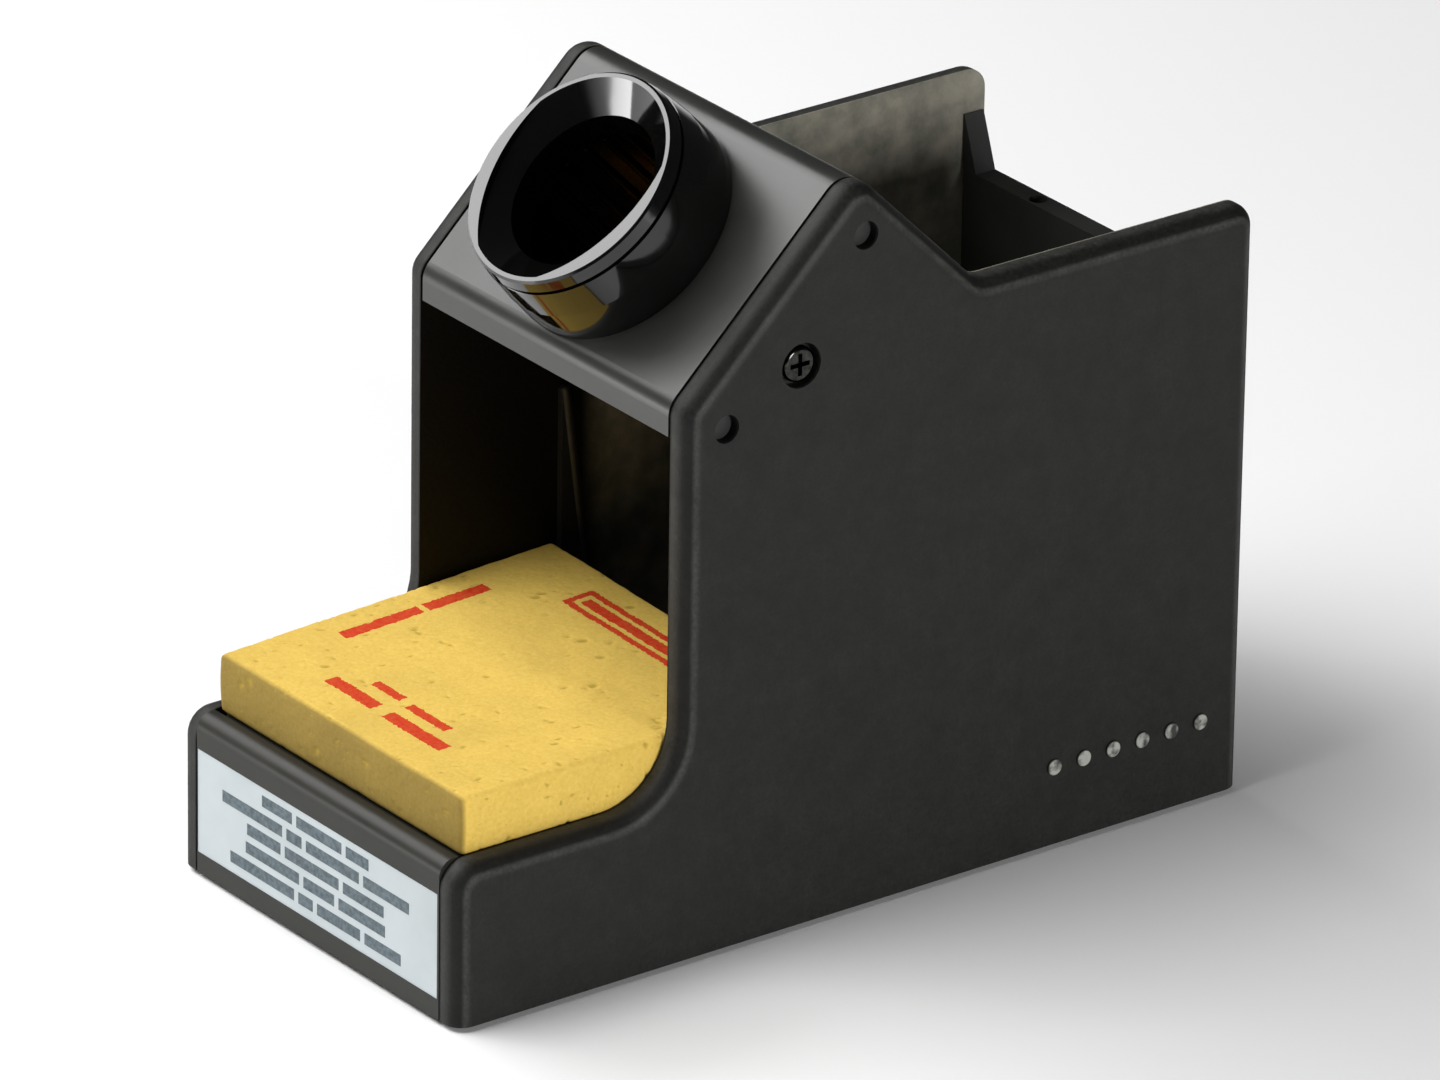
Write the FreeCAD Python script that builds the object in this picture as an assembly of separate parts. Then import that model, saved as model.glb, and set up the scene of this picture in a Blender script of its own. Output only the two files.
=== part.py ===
import FreeCAD, Part
import math, os
from FreeCAD import Vector as V

# Bench stand for a soldering iron. Everything is drawn in millimetres with X to the right,
# Y from the front face to the back and Z up from the lower edge of the side plates.
# place() then moves each piece so that the stand is centred on its own base.

# ---- side plates and outline ----
body_length = 165.4          # front face to back face
body_width = 80.0            # over both side plates
plate_thickness = 4.8
front_height = 29.0          # low front part that holds the sponge
front_corner = 5.0           # profile radius at the low front corner
sweep_radius = 14.0          # hollow curve between the low part and the upright edge
upright_back = 46.0          # upright edge behind the front face
eave_height = 99.0           # where the upright edge meets the front slope
ridge_back = 81.3
ridge_height = 133.2
notch_back = 107.0           # foot of the rear slope
rear_height = 108.0          # level top edge of the rear part
ridge_radius = 5.0
bend_radius = 4.5            # profile radius at the eave and the notch
rear_corner = 4.0            # profile radius at the top rear corner
edge_land = 1.4              # plate thickness left square inside the rounded outer edge

# ---- fixings shared by several pieces ----
screw_radius = 1.5
thread_gap = 0.05            # screw in its threaded hole
through_gap = 0.2            # screw in a plain hole
head_radius = 2.75
head_height = 1.9
thread_bite = 2.8            # how far a screw goes into a plate or panel
boss_radius = 3.5
press_gap = 0.02             # pushed-in pieces

# ---- base ----
side_joint = 0.3             # panels to side plates
cover_thickness = 3.0
tub_wall = 2.5
tub_top = 16.0               # top of the base above the plates' lower edge
foot_proud = 1.0
foot_sunk = 1.0
foot_radius = 6.0
foot_side_inset = 13.0       # foot centres from the plates' inner faces
foot_end_inset = 20.0        # foot centres from the front and back faces
boss_wall_gap = 0.5          # base bosses to the base's side walls
front_screw_back = 12.0      # cover screws behind the front face
middle_screw_back = 68.0
rear_screw_inset = 12.0      # cover screws in front of the back face
plate_screw_front = 30.0
plate_screw_middle = 96.0
plate_screw_inset = 28.0     # rear plate screws in front of the back face
plate_screw_z = 8.6
ballast_gap = 1.0            # ballast to the bosses
ballast_front = 44.0
ballast_inset = 16.0         # ballast end in front of the back face

# ---- front panel and label ----
front_thickness = 4.0
lip_radius = 3.0
lip_back_radius = 0.4
label_left_margin = 0.1      # label to the panel's ends
label_right_margin = 0.5
label_height = 19.2
label_bottom = 3.7
label_sheet = 0.4
label_sunk = 0.1
panel_screw_inset = 15.2     # screws through the base's ends, from the plates' inner faces
panel_screw_z = 8.6

# ---- rear wall ----
rear_wall_thickness = 4.2
rear_wall_inset = 0.4        # in front of the plates' back edge
rear_wall_height = 90.0
ear_width = 3.6
ear_height = 10.0
rack_hole_radius = 1.65
rack_hole_spacing = 33.0
rack_hole_depth = 12.0

# ---- roof ----
roof_sheet = 2.5
roof_joint = 0.6             # visible gap between roof and side plates
roof_band = 5.5              # upright front band below the eave
roof_web = 3.0
roof_end_gap = 1.5           # roof's rear edge before the notch
web_rear_gap = 3.5           # end webs before the deflector's upper edge
web_drop = 8.2               # end webs' lower edge below the eave
web_set_back = 5.0           # end webs' lower corner behind the upright edge
pad_radius = 5.0
roof_screw_along = 19.0      # from the eave along the front slope
roof_screw_below = 13.7      # square to the slope, towards the inside
screw_recess_radius = 4.0
screw_recess_depth = 2.6
roof_boss_length = 9.0
insert_radius = 2.5
insert_length = 6.0
peg_radius = 2.4
peg_gap = 0.1
peg_sunk = 2.0               # peg end below the plate's outer face
peg_length = 9.0
front_peg_along = 2.8
front_peg_below = 8.6
ridge_peg_behind = 0.8       # behind the ridge line
ridge_peg_drop = 10.7        # below the ridge line

# ---- heat deflector ----
deflector_sheet = 1.4
deflector_overlap = 14.0     # under the roof's rear slope
deflector_fold_up = 54.5     # fold at the rear wall
deflector_flange = 13.0
deflector_side_gap = 1.0
fold_radius = 1.0            # inside the deflector's fold
deflector_screw_x = 20.0
rivet_radius = 1.6
rivet_head_radius = 3.2
rivet_head = 1.2
rivet_x = 22.0

# ---- iron cup, liner and lock ring ----
cup_back = 62.3              # cup axis where it crosses the front slope
cup_rim_radius = 20.35
cup_base_radius = 21.4
cup_height = 16.6
cup_bulge = 0.45
throat_radius = 14.3
throat_depth = 4.2           # rim to the start of the straight throat
mouth_radius = 19.2
tab_reach = 17.2             # two crescent tabs in the mouth, least distance from the axis
tab_edge_radius = 26.4       # their flatter inner edge
tab_thickness = 1.2
tab_turn = 18.5              # degrees from the side towards the front
liner_top = 6.5              # liner's upper end above the slope
liner_radius = 15.2          # inside, between the ribs
spigot_radius = 17.6
spigot_length = 16.0
spigot_gap = 0.3             # spigot in the roof hole
liner_sheet = 0.8
liner_gap = 0.05
liner_collar = 1.2
liner_tail = 6.0
liner_ribs = 24
liner_rib_radius = 0.8
ring_radius = 20.3
ring_height = 4.0
ring_notches = 6
groove_depth = 0.5
groove_width = 0.7
groove_below_rim = 2.4

# ---- sponge, tray and backstop ----
tray_wall = 1.4
tray_floor = 1.6
tray_side_gap = 0.5
tray_end_gap = 0.5
tray_seat_gap = 0.1
tray_height = 12.0
tray_corner = 3.0
backstop_front = 74.8
backstop_sheet = 2.0
backstop_height = 18.0
backstop_foot = 2.0
fin_sheet = 0.8
fin_bead = 0.9               # radius of the rounded rib along a fin's sloping edge
fin_top = 70.0
fin_foot_length = 8.0
fin_tip_length = 0.8
sponge_gap = 0.4             # sponge to the tray and side plates
sponge_rear_gap = 1.2
sponge_height = 21.8
sponge_edge = 0.8

# ---- raised pips low on each side plate ----
pip_count = 6
pip_radius = 1.5
pip_height = 0.5
pip_spacing = 6.3
pip_inset = 9.5              # last pip in front of the back face
pip_up = 14.6

plate_outer = body_width / 2
plate_inner = plate_outer - plate_thickness
panel_half = plate_inner - side_joint
roof_half = plate_inner - roof_joint
tub_front = front_thickness
rear_wall_back = body_length - rear_wall_inset
rear_wall_front = rear_wall_back - rear_wall_thickness
cavity_top = tub_top - tub_wall
cover_screw_x = plate_inner - tub_wall - boss_wall_gap - boss_radius
panel_screw_x = plate_inner - panel_screw_inset
cover_screw_ys = (front_screw_back, middle_screw_back, body_length - rear_screw_inset)
plate_screw_ys = (plate_screw_front, plate_screw_middle, body_length - plate_screw_inset)
rack_hole_back = (rear_wall_front + rear_wall_back) / 2
slope_angle = math.atan2(ridge_height - eave_height, ridge_back - upright_back)
slope_up = V(0, math.cos(slope_angle), math.sin(slope_angle))
slope_out = V(0, -math.sin(slope_angle), math.cos(slope_angle))
cup_origin = V(0, cup_back, eave_height + (cup_back - upright_back) * math.tan(slope_angle))
ridge_peg_back, ridge_peg_up = ridge_back + ridge_peg_behind, ridge_height - ridge_peg_drop


def under_slope(along, below):
    """Back and up of a point under the front slope."""
    point = V(0, upright_back, eave_height) + slope_up * along - slope_out * below
    return point.y, point.z


roof_screw_back, roof_screw_up = under_slope(roof_screw_along, roof_screw_below)
front_peg_back, front_peg_up = under_slope(front_peg_along, front_peg_below)


def place(shape):
    moved = shape.copy()
    moved.translate(V(0, -body_length / 2, foot_proud))
    return moved


def save(shape, name):
    place(shape).exportStep("parts/" + name + ".step")


def box(x0, x1, y0, y1, z0, z1):
    return Part.makeBox(x1 - x0, y1 - y0, z1 - z0, V(x0, y0, z0))


def rod(radius, start, end):
    return Part.makeCylinder(radius, (end - start).Length, start, end - start)


def mirror(shape):
    return shape.mirror(V(0, 0, 0), V(1, 0, 0))


def side_face(corners, x=0.0):
    """Face in the plane X = x from (back, up, corner radius) points."""
    points = [V(x, back, up) for back, up, _ in corners]
    edges, ends = [], []
    for i, (_, _, radius) in enumerate(corners):
        here, before, after = points[i], points[i - 1], points[(i + 1) % len(points)]
        if radius <= 0:
            ends.append((here, here))
            continue
        to_before, to_after = (before - here).normalize(), (after - here).normalize()
        half = to_before.getAngle(to_after) / 2
        run = radius / math.tan(half)
        inward = (to_before + to_after).normalize()
        start, end = here + to_before * run, here + to_after * run
        middle = here + inward * (radius / math.sin(half) - radius)
        edges.append(Part.Arc(start, middle, end).toShape())
        ends.append((start, end))
    for i in range(len(ends)):
        start, end = ends[i][1], ends[(i + 1) % len(ends)][0]
        if (end - start).Length > 1e-6:
            edges.append(Part.makeLine(start, end))
    return Part.Face(Part.Wire(Part.__sortEdges__(edges)))


def side_slab(corners, x0, x1):
    return side_face(corners, x0).extrude(V(x1 - x0, 0, 0))


def bent_sheet(path, sheet, radii, x0, x1):
    """Sheet folded along (back, up) points, which lie on one face, with a radius for each fold."""
    points = [V(0, back, up) for back, up in path]
    normals = []
    for start, end in zip(points, points[1:]):
        along = (end - start).normalize()
        normals.append(V(0, along.z, -along.y))
    given = [(points[0], 0)]
    other = [(points[0] + normals[0] * sheet, 0)]
    for i in range(1, len(points) - 1):
        between, radius = normals[i - 1] + normals[i], radii[i - 1]
        closes = normals[i].dot(points[i] - points[i - 1]) < 0
        given.append((points[i], radius))
        other.append((points[i] + between * (sheet / (1 + normals[i - 1].dot(normals[i]))),
                      0 if radius == 0 else max(radius - sheet, 0.4) if closes else radius + sheet))
    given.append((points[-1], 0))
    other.append((points[-1] + normals[-1] * sheet, 0))
    return side_slab([(p.y, p.z, r) for p, r in given + other[::-1]], x0, x1)


def turned(profile, origin, axis):
    """Ring turned from (radius, height) points around an axis."""
    points = [V(radius, 0, height) for radius, height in profile]
    solid = Part.Face(Part.makePolygon(points + points[:1])).revolve(V(0, 0, 0), V(0, 0, 1), 360)
    solid.Placement = FreeCAD.Placement(origin, FreeCAD.Rotation(V(0, 0, 1), axis))
    return solid


def pan_screw(seat, into, length, radius=screw_radius, head=head_radius, height=head_height):
    """Cross-head screw whose head sits on the point seat and whose shank runs along into."""
    into = V(into).normalize()
    top = seat - into * height
    screw = rod(head, top, seat)
    crown = [edge for edge in screw.Edges if edge.Closed and (edge.CenterOfMass - top).Length < 0.01]
    screw = screw.makeFillet(height * 0.35, crown)
    screw = screw.fuse(rod(radius, seat, seat + into * length)).removeSplitter()
    arm, slot, depth = head * 0.62, head * 0.13, height * 0.55
    cross = Part.makeBox(2 * arm, 2 * slot, depth, V(-arm, -slot, 0))
    cross = cross.fuse(Part.makeBox(2 * slot, 2 * arm, depth, V(-slot, -arm, 0)))
    cross.Placement = FreeCAD.Placement(top, FreeCAD.Rotation(V(0, 0, 1), into))
    return screw.cut(cross)


def side_outline():
    """Profile of the side plates."""
    return [
        (0.0, 0.0, 0.0),
        (0.0, front_height, front_corner),
        (upright_back, front_height, sweep_radius),
        (upright_back, eave_height, bend_radius),
        (ridge_back, ridge_height, ridge_radius),
        (notch_back, rear_height, bend_radius),
        (body_length, rear_height, rear_corner),
        (body_length, 0.0, 0.0),
    ]


def side_plate():
    """Right-hand plate: rounded outer edge, recessed roof screw, two peg holes, blind screw holes."""
    plate = side_slab(side_outline(), plate_inner, plate_outer)
    rim = [edge for edge in plate.Edges
           if edge.BoundBox.XMin > plate_outer - 0.01 and edge.BoundBox.ZMax > 0.01]
    plate = plate.makeFillet(plate_thickness - edge_land, rim)
    for back, up in ((front_peg_back, front_peg_up), (ridge_peg_back, ridge_peg_up)):
        plate = plate.cut(rod(peg_radius + peg_gap, V(plate_inner - 1, back, up),
                              V(plate_outer + 1, back, up)))
    plate = plate.cut(rod(screw_radius + through_gap, V(plate_inner - 1, roof_screw_back, roof_screw_up),
                          V(plate_outer + 1, roof_screw_back, roof_screw_up)))
    plate = plate.cut(rod(screw_recess_radius,
                          V(plate_outer - screw_recess_depth, roof_screw_back, roof_screw_up),
                          V(plate_outer + 1, roof_screw_back, roof_screw_up)))
    for back in plate_screw_ys:
        plate = plate.cut(rod(screw_radius + thread_gap, V(plate_inner - 1, back, plate_screw_z),
                              V(plate_inner + thread_bite + 0.2, back, plate_screw_z)))
    for i in range(pip_count):
        back = body_length - pip_inset - i * pip_spacing
        pip = rod(pip_radius, V(plate_outer - 0.5, back, pip_up), V(plate_outer + pip_height, back, pip_up))
        outer = [edge for edge in pip.Edges if edge.Closed and edge.BoundBox.XMin > plate_outer]
        plate = plate.fuse(pip.makeFillet(pip_height * 0.7, outer))
    return plate.removeSplitter()


def front_panel():
    """Panel between the plates under the sponge, rounded along its upper lip."""
    panel = box(-panel_half, panel_half, 0, front_thickness, 0, front_height)
    for radius, back in ((lip_radius, 0), (lip_back_radius, front_thickness)):
        lip = [edge for edge in panel.Edges if edge.BoundBox.ZMin > front_height - 0.01
               and edge.BoundBox.XLength > 1 and abs(edge.CenterOfMass.y - back) < 0.01]
        panel = panel.makeFillet(radius, lip)
    panel = panel.cut(front_label(-1.0))
    for x in (-panel_screw_x, panel_screw_x):
        panel = panel.cut(rod(screw_radius + thread_gap,
                              V(x, front_thickness - thread_bite - 0.2, panel_screw_z),
                              V(x, front_thickness + 1, panel_screw_z)))
    return panel


def front_label(front=label_sunk):
    return box(-panel_half + label_left_margin, panel_half - label_right_margin,
               front, label_sunk + label_sheet, label_bottom, label_bottom + label_height)


def rear_wall():
    """Wall across the back with two upright rack holes and a three-cornered ear at each end."""
    wall = box(-panel_half, panel_half, rear_wall_front, rear_wall_back, 0, rear_wall_height)
    corners = [V(panel_half, rear_wall_front, rear_wall_height - 1),
               V(panel_half - ear_width, rear_wall_front, rear_wall_height - 1),
               V(panel_half - ear_width, rear_wall_front, rear_wall_height),
               V(panel_half, rear_wall_front, rear_wall_height + ear_height)]
    ear = Part.Face(Part.makePolygon(corners + corners[:1])).extrude(V(0, rear_wall_thickness, 0))
    wall = wall.fuse(ear).fuse(mirror(ear)).removeSplitter()
    for x in (-rack_hole_spacing / 2, rack_hole_spacing / 2):
        wall = wall.cut(rod(rack_hole_radius, V(x, rack_hole_back, rear_wall_height - rack_hole_depth),
                            V(x, rack_hole_back, rear_wall_height + 1)))
    low = [(x, panel_screw_z) for x in (-panel_screw_x, panel_screw_x)]
    high = [(x, deflector_screw_up()) for x in (-deflector_screw_x, deflector_screw_x)]
    for x, up in low + high:
        wall = wall.cut(rod(screw_radius + thread_gap, V(x, rear_wall_front - 1, up),
                            V(x, rear_wall_front + thread_bite + 0.2, up)))
    return wall


def base_tub():
    """Moulded base: a tray turned upside down, with bosses for the cover and backstop screws."""
    tub = box(-plate_inner, plate_inner, tub_front, rear_wall_front, cover_thickness, tub_top)
    tub = tub.cut(box(-plate_inner + tub_wall, plate_inner - tub_wall, tub_front + tub_wall,
                      rear_wall_front - tub_wall, cover_thickness - 1, cavity_top))
    for x in (-cover_screw_x, cover_screw_x):
        for back in cover_screw_ys:
            tub = tub.fuse(rod(boss_radius, V(x, back, cover_thickness), V(x, back, cavity_top + 0.5)))
        tub = tub.fuse(rod(boss_radius, V(x, backstop_screw_back(), cover_thickness + 3),
                           V(x, backstop_screw_back(), cavity_top + 0.5)))
    for x in (-cover_screw_x, cover_screw_x):
        for back in cover_screw_ys:
            tub = tub.cut(rod(screw_radius + thread_gap, V(x, back, 0), V(x, back, cavity_top - 1)))
        tub = tub.cut(rod(screw_radius + thread_gap, V(x, backstop_screw_back(), cover_thickness + 4),
                          V(x, backstop_screw_back(), tub_top + 1)))
    for side in (-1, 1):
        for back in plate_screw_ys:
            tub = tub.cut(rod(screw_radius + through_gap,
                              V(side * (plate_inner - tub_wall - 1), back, plate_screw_z),
                              V(side * (plate_inner + 1), back, plate_screw_z)))
    for x in (-panel_screw_x, panel_screw_x):
        for y0, y1 in ((tub_front - 1, tub_front + tub_wall + 1),
                       (rear_wall_front - tub_wall - 1, rear_wall_front + 1)):
            tub = tub.cut(rod(screw_radius + through_gap, V(x, y0, panel_screw_z), V(x, y1, panel_screw_z)))
    return tub.removeSplitter()


def foot_centres():
    return [(side * (plate_inner - foot_side_inset), back) for side in (-1, 1)
            for back in (foot_end_inset, body_length - foot_end_inset)]


def bottom_cover():
    cover = box(-panel_half, panel_half, tub_front + side_joint, rear_wall_front - side_joint,
                0, cover_thickness)
    for x in (-cover_screw_x, cover_screw_x):
        for back in cover_screw_ys:
            hole = rod(screw_radius + through_gap, V(x, back, -1), V(x, back, cover_thickness + 1))
            recess = rod(head_radius + through_gap, V(x, back, -1), V(x, back, head_height + 0.1))
            cover = cover.cut(hole).cut(recess)
    for x, back in foot_centres():
        cover = cover.cut(rod(foot_radius + press_gap, V(x, back, -1), V(x, back, foot_sunk)))
    return cover


def rubber_feet():
    feet = []
    for x, back in foot_centres():
        foot = rod(foot_radius, V(x, back, -foot_proud), V(x, back, foot_sunk))
        lower = [edge for edge in foot.Edges if edge.Closed and edge.BoundBox.ZMax < 0]
        feet.append(foot.makeChamfer(foot_proud * 0.5, lower))
    return Part.makeCompound(feet)


def ballast_block():
    half = cover_screw_x - boss_radius - ballast_gap
    block = box(-half, half, ballast_front, body_length - ballast_inset, cover_thickness, cavity_top)
    upright = [edge for edge in block.Edges if edge.BoundBox.ZLength > 1]
    return block.makeChamfer(1.5, upright)


def rear_slope():
    """Unit vectors down the rear slope and square to it, towards the inside."""
    along = V(0, notch_back - ridge_back, rear_height - ridge_height).normalize()
    return along, V(0, along.z, -along.y)


def roof_path():
    along, _ = rear_slope()
    end = V(0, notch_back, rear_height) - along * roof_end_gap
    return [(upright_back, eave_height - roof_band), (upright_back, eave_height),
            (ridge_back, ridge_height), (end.y, end.z)]


def roof_cover():
    """Folded cover with an end web at each side plate, screw bosses and peg bosses."""
    cover = bent_sheet(roof_path(), roof_sheet, (bend_radius, ridge_radius), -roof_half, roof_half)
    along, inward = rear_slope()
    end = (V(0, notch_back, rear_height) - along * (roof_end_gap + deflector_overlap + web_rear_gap)
           + inward * (roof_sheet * 0.5))
    low = end + inward * (roof_sheet * 2)
    web_corners = [
        (upright_back + roof_sheet * 0.5, eave_height - roof_band, 0),
        (upright_back + roof_sheet * 0.5, eave_height - 0.5, 0),
        (ridge_back, ridge_height - roof_sheet * 0.9, ridge_radius - roof_sheet * 0.5),
        (end.y, end.z, 0), (low.y, low.z, 0), (low.y, eave_height - web_drop, 0),
        (upright_back + web_set_back, eave_height - web_drop, 0)]
    web = side_slab(web_corners, roof_half - roof_web, roof_half)
    screw_boss = rod(boss_radius + 0.7, V(roof_half - roof_boss_length, roof_screw_back, roof_screw_up),
                     V(roof_half, roof_screw_back, roof_screw_up))
    pad = rod(pad_radius, V(roof_half - 1, roof_screw_back, roof_screw_up),
              V(plate_inner, roof_screw_back, roof_screw_up))
    half = web.fuse(screw_boss).fuse(pad)
    for back, up in ((front_peg_back, front_peg_up), (ridge_peg_back, ridge_peg_up)):
        half = half.fuse(rod(boss_radius + 0.5, V(peg_end() - 1.5, back, up), V(roof_half, back, up)))
    cover = cover.fuse(half).fuse(mirror(half))
    tools = rod(insert_radius + press_gap, V(plate_inner - insert_length, roof_screw_back, roof_screw_up),
                V(plate_inner + 1, roof_screw_back, roof_screw_up))
    tools = tools.fuse(rod(screw_radius + through_gap,
                           V(plate_inner - insert_length - 2.0, roof_screw_back, roof_screw_up),
                           V(plate_inner, roof_screw_back, roof_screw_up)))
    for back, up in ((front_peg_back, front_peg_up), (ridge_peg_back, ridge_peg_up)):
        tools = tools.fuse(rod(peg_radius + press_gap, V(peg_end(), back, up),
                               V(plate_inner + 1, back, up)))
    cover = cover.cut(tools).cut(mirror(tools))
    cover = cover.cut(rod(spigot_radius + spigot_gap, cup_origin - slope_out * 8,
                          cup_origin + slope_out * 8))
    for x in (-rivet_x, rivet_x):
        centre = rivet_centre(x)
        cover = cover.cut(rod(rivet_radius + press_gap, centre - inward * 5, centre + inward * 5))
    return cover.removeSplitter()


def peg_end():
    return plate_outer - peg_sunk - peg_length


def locating_pegs():
    pegs = []
    for side in (-1, 1):
        for back, up in ((front_peg_back, front_peg_up), (ridge_peg_back, ridge_peg_up)):
            pegs.append(rod(peg_radius, V(side * peg_end(), back, up),
                            V(side * (plate_outer - peg_sunk), back, up)))
    return Part.makeCompound(pegs)


def roof_screws():
    reach = insert_length + plate_thickness - screw_recess_depth + 1.5
    screw = pan_screw(V(plate_outer - screw_recess_depth, roof_screw_back, roof_screw_up), V(-1, 0, 0),
                      reach, head=3.2, height=2.2)
    return Part.makeCompound([screw, mirror(screw)])


def roof_inserts():
    inserts = []
    for side in (-1, 1):
        inner = V(side * (plate_inner - insert_length), roof_screw_back, roof_screw_up)
        outer = V(side * plate_inner, roof_screw_back, roof_screw_up)
        inserts.append(rod(insert_radius, inner, outer).cut(
            rod(screw_radius + thread_gap, inner - (outer - inner), outer + (outer - inner))))
    return Part.makeCompound(inserts)


def rivet_centre(x):
    along, _ = rear_slope()
    return V(x, notch_back, rear_height) - along * (roof_end_gap + deflector_overlap * 0.5)


def deflector_path():
    """Upper face: under the rear slope, on to the fold near the wall, then up in front of the wall."""
    along, inward = rear_slope()
    roof_end = V(0, notch_back, rear_height) - along * roof_end_gap + inward * roof_sheet
    start = roof_end - along * deflector_overlap
    flange_back = rear_wall_front - deflector_sheet
    return [(start.y, start.z), (roof_end.y, roof_end.z), (flange_back, deflector_fold_up),
            (flange_back, deflector_fold_up + deflector_flange)]


def deflector_screw_up():
    return deflector_fold_up + deflector_flange * 0.6


def heat_deflector():
    """Sheet that hangs under the roof's rear slope and turns up in front of the rear wall."""
    half = plate_inner - deflector_side_gap
    _, inward = rear_slope()
    sheet = bent_sheet(deflector_path(), deflector_sheet, (0, fold_radius), -half, half)
    for x in (-rivet_x, rivet_x):
        centre = rivet_centre(x)
        sheet = sheet.cut(rod(rivet_radius + press_gap, centre, centre + inward * 8))
    for x in (-deflector_screw_x, deflector_screw_x):
        up = deflector_screw_up()
        sheet = sheet.cut(rod(screw_radius + through_gap, V(x, rear_wall_front - 6, up),
                              V(x, rear_wall_front + 1, up)))
    return sheet


def deflector_rivets():
    _, inward = rear_slope()
    rivets = []
    for x in (-rivet_x, rivet_x):
        top = rivet_centre(x)
        low = top + inward * (roof_sheet + deflector_sheet)
        rivet = rod(rivet_radius, top, low)
        rivet = rivet.fuse(rod(rivet_head_radius, top - inward * rivet_head, top))
        rivet = rivet.fuse(rod(rivet_head_radius * 0.8, low, low + inward * rivet_head))
        rivets.append(rivet.removeSplitter())
    return Part.makeCompound(rivets)


def deflector_screws():
    return Part.makeCompound([
        pan_screw(V(x, rear_wall_front - deflector_sheet, deflector_screw_up()), V(0, 1, 0),
                  deflector_sheet + thread_bite) for x in (-deflector_screw_x, deflector_screw_x)])


def iron_cup():
    """Turned cup on the front slope: outer wall, funnel mouth with two tabs, throat and spigot."""
    seat_radius = liner_radius + liner_sheet + liner_gap
    throat_top = cup_height - throat_depth
    middle = (cup_rim_radius + cup_base_radius) / 2 + cup_bulge
    groove_top = cup_height - groove_below_rim
    groove_at = cup_rim_radius + 0.35
    cup = turned([
        (seat_radius, liner_top), (throat_radius, liner_top), (throat_radius, throat_top),
        (mouth_radius, cup_height), (cup_rim_radius - 0.4, cup_height),
        (cup_rim_radius, cup_height - 0.4),
        (groove_at, groove_top), (groove_at - groove_depth, groove_top - 0.1),
        (groove_at - groove_depth, groove_top - groove_width + 0.1),
        (groove_at + 0.1, groove_top - groove_width),
        (middle, cup_height * 0.45), (cup_base_radius + 0.1, 2.0), (cup_base_radius, 0.0),
        (spigot_radius, 0.0), (spigot_radius, -spigot_length), (seat_radius, -spigot_length)],
        cup_origin, slope_out)
    for turn in (tab_turn, 180 - tab_turn):
        cup = cup.fuse(crescent_tab(math.radians(turn)))
    return cup.removeSplitter()


def crescent_tab(turn):
    """Tab under the rim's top face, at an angle from the right towards the front."""
    low, top = cup_origin + slope_out * (cup_height - tab_thickness), cup_origin + slope_out * cup_height
    away = (V(1, 0, 0) * math.cos(turn) - slope_up * math.sin(turn)) * (tab_edge_radius - tab_reach)
    return rod(cup_rim_radius - 0.5, low, top).cut(
        rod(tab_edge_radius, low - away - slope_out, top - away + slope_out))


def cup_liner():
    """Ribbed steel sleeve that steadies the iron's nose, held by a collar under the spigot."""
    outer, collar = liner_radius + liner_sheet, spigot_radius - 0.2
    low, tail = -spigot_length, -spigot_length - liner_tail
    liner = turned([
        (liner_radius, liner_top), (outer, liner_top), (outer, low), (collar, low),
        (collar, low - liner_collar), (outer, low - liner_collar), (outer, tail),
        (liner_radius, tail)], cup_origin, slope_out)
    for i in range(liner_ribs):
        angle = 2 * math.pi * i / liner_ribs
        spoke = V(1, 0, 0) * math.cos(angle) + slope_up * math.sin(angle)
        centre = cup_origin + spoke * liner_radius
        top = centre + slope_out * (liner_top - 1)
        rib = rod(liner_rib_radius, centre + slope_out * (tail + 2), top)
        rib = rib.fuse(Part.makeSphere(liner_rib_radius, top))
        liner = liner.fuse(rib.common(rod(outer - 0.2, cup_origin + slope_out * tail,
                                          cup_origin + slope_out * liner_top)))
    return liner.removeSplitter()


def cup_lock_ring():
    ring = turned([(spigot_radius + thread_gap, -roof_sheet), (ring_radius, -roof_sheet),
                   (ring_radius, -roof_sheet - ring_height),
                   (spigot_radius + thread_gap, -roof_sheet - ring_height)], cup_origin, slope_out)
    for i in range(ring_notches):
        angle = 2 * math.pi * i / ring_notches
        spoke = V(1, 0, 0) * math.cos(angle) + slope_up * math.sin(angle)
        centre = cup_origin + spoke * (ring_radius + 0.8)
        ring = ring.cut(rod(1.8, centre - slope_out * (roof_sheet - 1),
                            centre - slope_out * (roof_sheet + ring_height + 1)))
    return ring


def tray_box():
    half = plate_inner - tray_side_gap
    return half, tub_front + tray_end_gap, backstop_front - tray_end_gap - 0.1, tub_top + tray_seat_gap


def sponge_tray():
    half, front, back, low = tray_box()
    tray = box(-half, half, front, back, low, low + tray_height)
    tray = tray.makeFillet(tray_corner, [edge for edge in tray.Edges if edge.BoundBox.ZLength > 1])
    hollow = box(-half + tray_wall, half - tray_wall, front + tray_wall, back - tray_wall,
                 low + tray_floor, low + tray_height + 1)
    hollow = hollow.makeFillet(tray_corner - tray_wall,
                               [edge for edge in hollow.Edges if edge.BoundBox.ZLength > 1])
    return tray.cut(hollow)


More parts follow.
